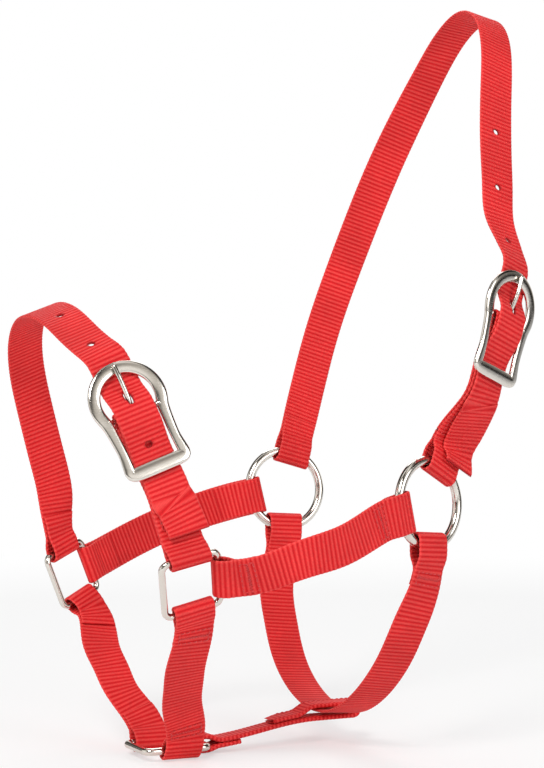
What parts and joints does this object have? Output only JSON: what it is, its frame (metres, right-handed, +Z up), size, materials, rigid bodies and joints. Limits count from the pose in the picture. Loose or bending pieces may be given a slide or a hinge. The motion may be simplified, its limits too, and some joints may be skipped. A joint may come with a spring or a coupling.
{
  "type": "webbing halter",
  "caption": "Flat webbing halter for a horse: adjustable noseband and crown with roller-style tongue buckles, sewn cheek, chin and throat straps on round and square metal rings.",
  "frame": {"origin": "centre of the bounding box in plan, at the lowest edge of the halter", "axes": "+Z up, the muzzle looks to -Y, the near side (the animal's left, with both buckles) is +X"},
  "size_m": [0.2511, 0.3274, 0.4779],
  "materials": {
    "webbing": "woven nylon webbing, slight sheen",
    "thread": "matching polyester thread",
    "nickel": "nickel plated, polished"
  },
  "bodies": {
    "web": {"noseband_strap": "webbing", "noseband_buckle_strap": "webbing", "noseband_buckle_frame": "nickel", "near_cheek_strap": "webbing", "off_cheek_strap": "webbing", "near_chin_strap": "webbing", "off_chin_strap": "webbing", "throat_strap": "webbing", "jaw_strap": "webbing", "noseband_stitching": "thread", "near_cheek_front_stitching": "thread", "near_cheek_rear_stitching": "thread", "off_cheek_front_stitching": "thread", "off_cheek_rear_stitching": "thread", "near_chin_upper_stitching": "thread", "near_chin_lower_stitching": "thread", "off_chin_upper_stitching": "thread", "off_chin_lower_stitching": "thread", "off_throat_stitching": "thread", "near_throat_stitching": "thread"},
    "crown": {"crown_strap": "webbing", "crown_buckle_strap": "webbing", "crown_buckle_frame": "nickel", "crown_stitching": "thread"},
    "crown_tongue": {"crown_buckle_tongue": "nickel"},
    "noseband_tongue": {"noseband_buckle_tongue": "nickel"},
    "near_cheek_ring_body": {"near_cheek_ring": "nickel"},
    "off_cheek_ring_body": {"off_cheek_ring": "nickel"},
    "near_nose_ring_body": {"near_nose_ring": "nickel"},
    "off_nose_ring_body": {"off_nose_ring": "nickel"},
    "chin_ring_body": {"chin_ring": "nickel"}
  },
  "joints": [
    {"name": "crown_swing", "type": "hinge", "parent": "web", "child": "crown", "pos_m": [-0.00433, 0.05855, 0.15692], "axis": [0.9999, 0.0075, -0.0114], "range_deg": [-15, 15], "deforming": ["crown_strap", "crown_buckle_strap", "crown_stitching"]},
    {"name": "crown_tongue_lift", "type": "hinge", "parent": "crown", "child": "crown_tongue", "pos_m": [0.11405, 0.10047, 0.2657], "axis": [-0.3146, 0.8952, -0.3158], "range_deg": [0, 8], "deforming": ["crown_strap"]},
    {"name": "noseband_tongue_lift", "type": "hinge", "parent": "web", "child": "noseband_tongue", "pos_m": [0.07998, -0.12712, 0.21155], "axis": [0.0596, 0.9318, 0.3582], "range_deg": [0, 8], "deforming": ["noseband_strap"]},
    {"name": "near_cheek_ring_spin", "type": "hinge", "parent": "web", "child": "near_cheek_ring_body", "pos_m": [0.09198, 0.05927, 0.15582], "axis": [0.9514, 0.3037, 0.0506], "continuous": true},
    {"name": "off_cheek_ring_spin", "type": "hinge", "parent": "web", "child": "off_cheek_ring_body", "pos_m": [-0.10064, 0.05783, 0.15802], "axis": [-0.9919, 0.0607, -0.1113], "continuous": true},
    {"name": "near_nose_ring_rock", "type": "hinge", "parent": "web", "child": "near_nose_ring_body", "pos_m": [0.09157, -0.09712, 0.11414], "axis": [-0.0555, -0.9715, -0.2306], "range_deg": [-12, 12], "deforming": ["near_cheek_strap", "near_chin_strap", "near_chin_upper_stitching", "near_cheek_front_stitching", "noseband_buckle_strap", "noseband_strap"]},
    {"name": "off_nose_ring_rock", "type": "hinge", "parent": "web", "child": "off_nose_ring_body", "pos_m": [-0.09906, -0.09898, 0.10602], "axis": [-0.4504, 0.8408, 0.3003], "range_deg": [-12, 12], "deforming": ["off_cheek_strap", "off_chin_strap", "off_chin_upper_stitching", "off_cheek_front_stitching", "noseband_strap", "noseband_stitching"]},
    {"name": "chin_ring_rock", "type": "hinge", "parent": "web", "child": "chin_ring_body", "pos_m": [-0.00445, -0.07183, 0.00589], "axis": [1, 0, 0], "range_deg": [-15, 15], "deforming": ["near_chin_strap", "off_chin_strap", "jaw_strap", "near_chin_lower_stitching", "off_chin_lower_stitching"]}
  ]
}
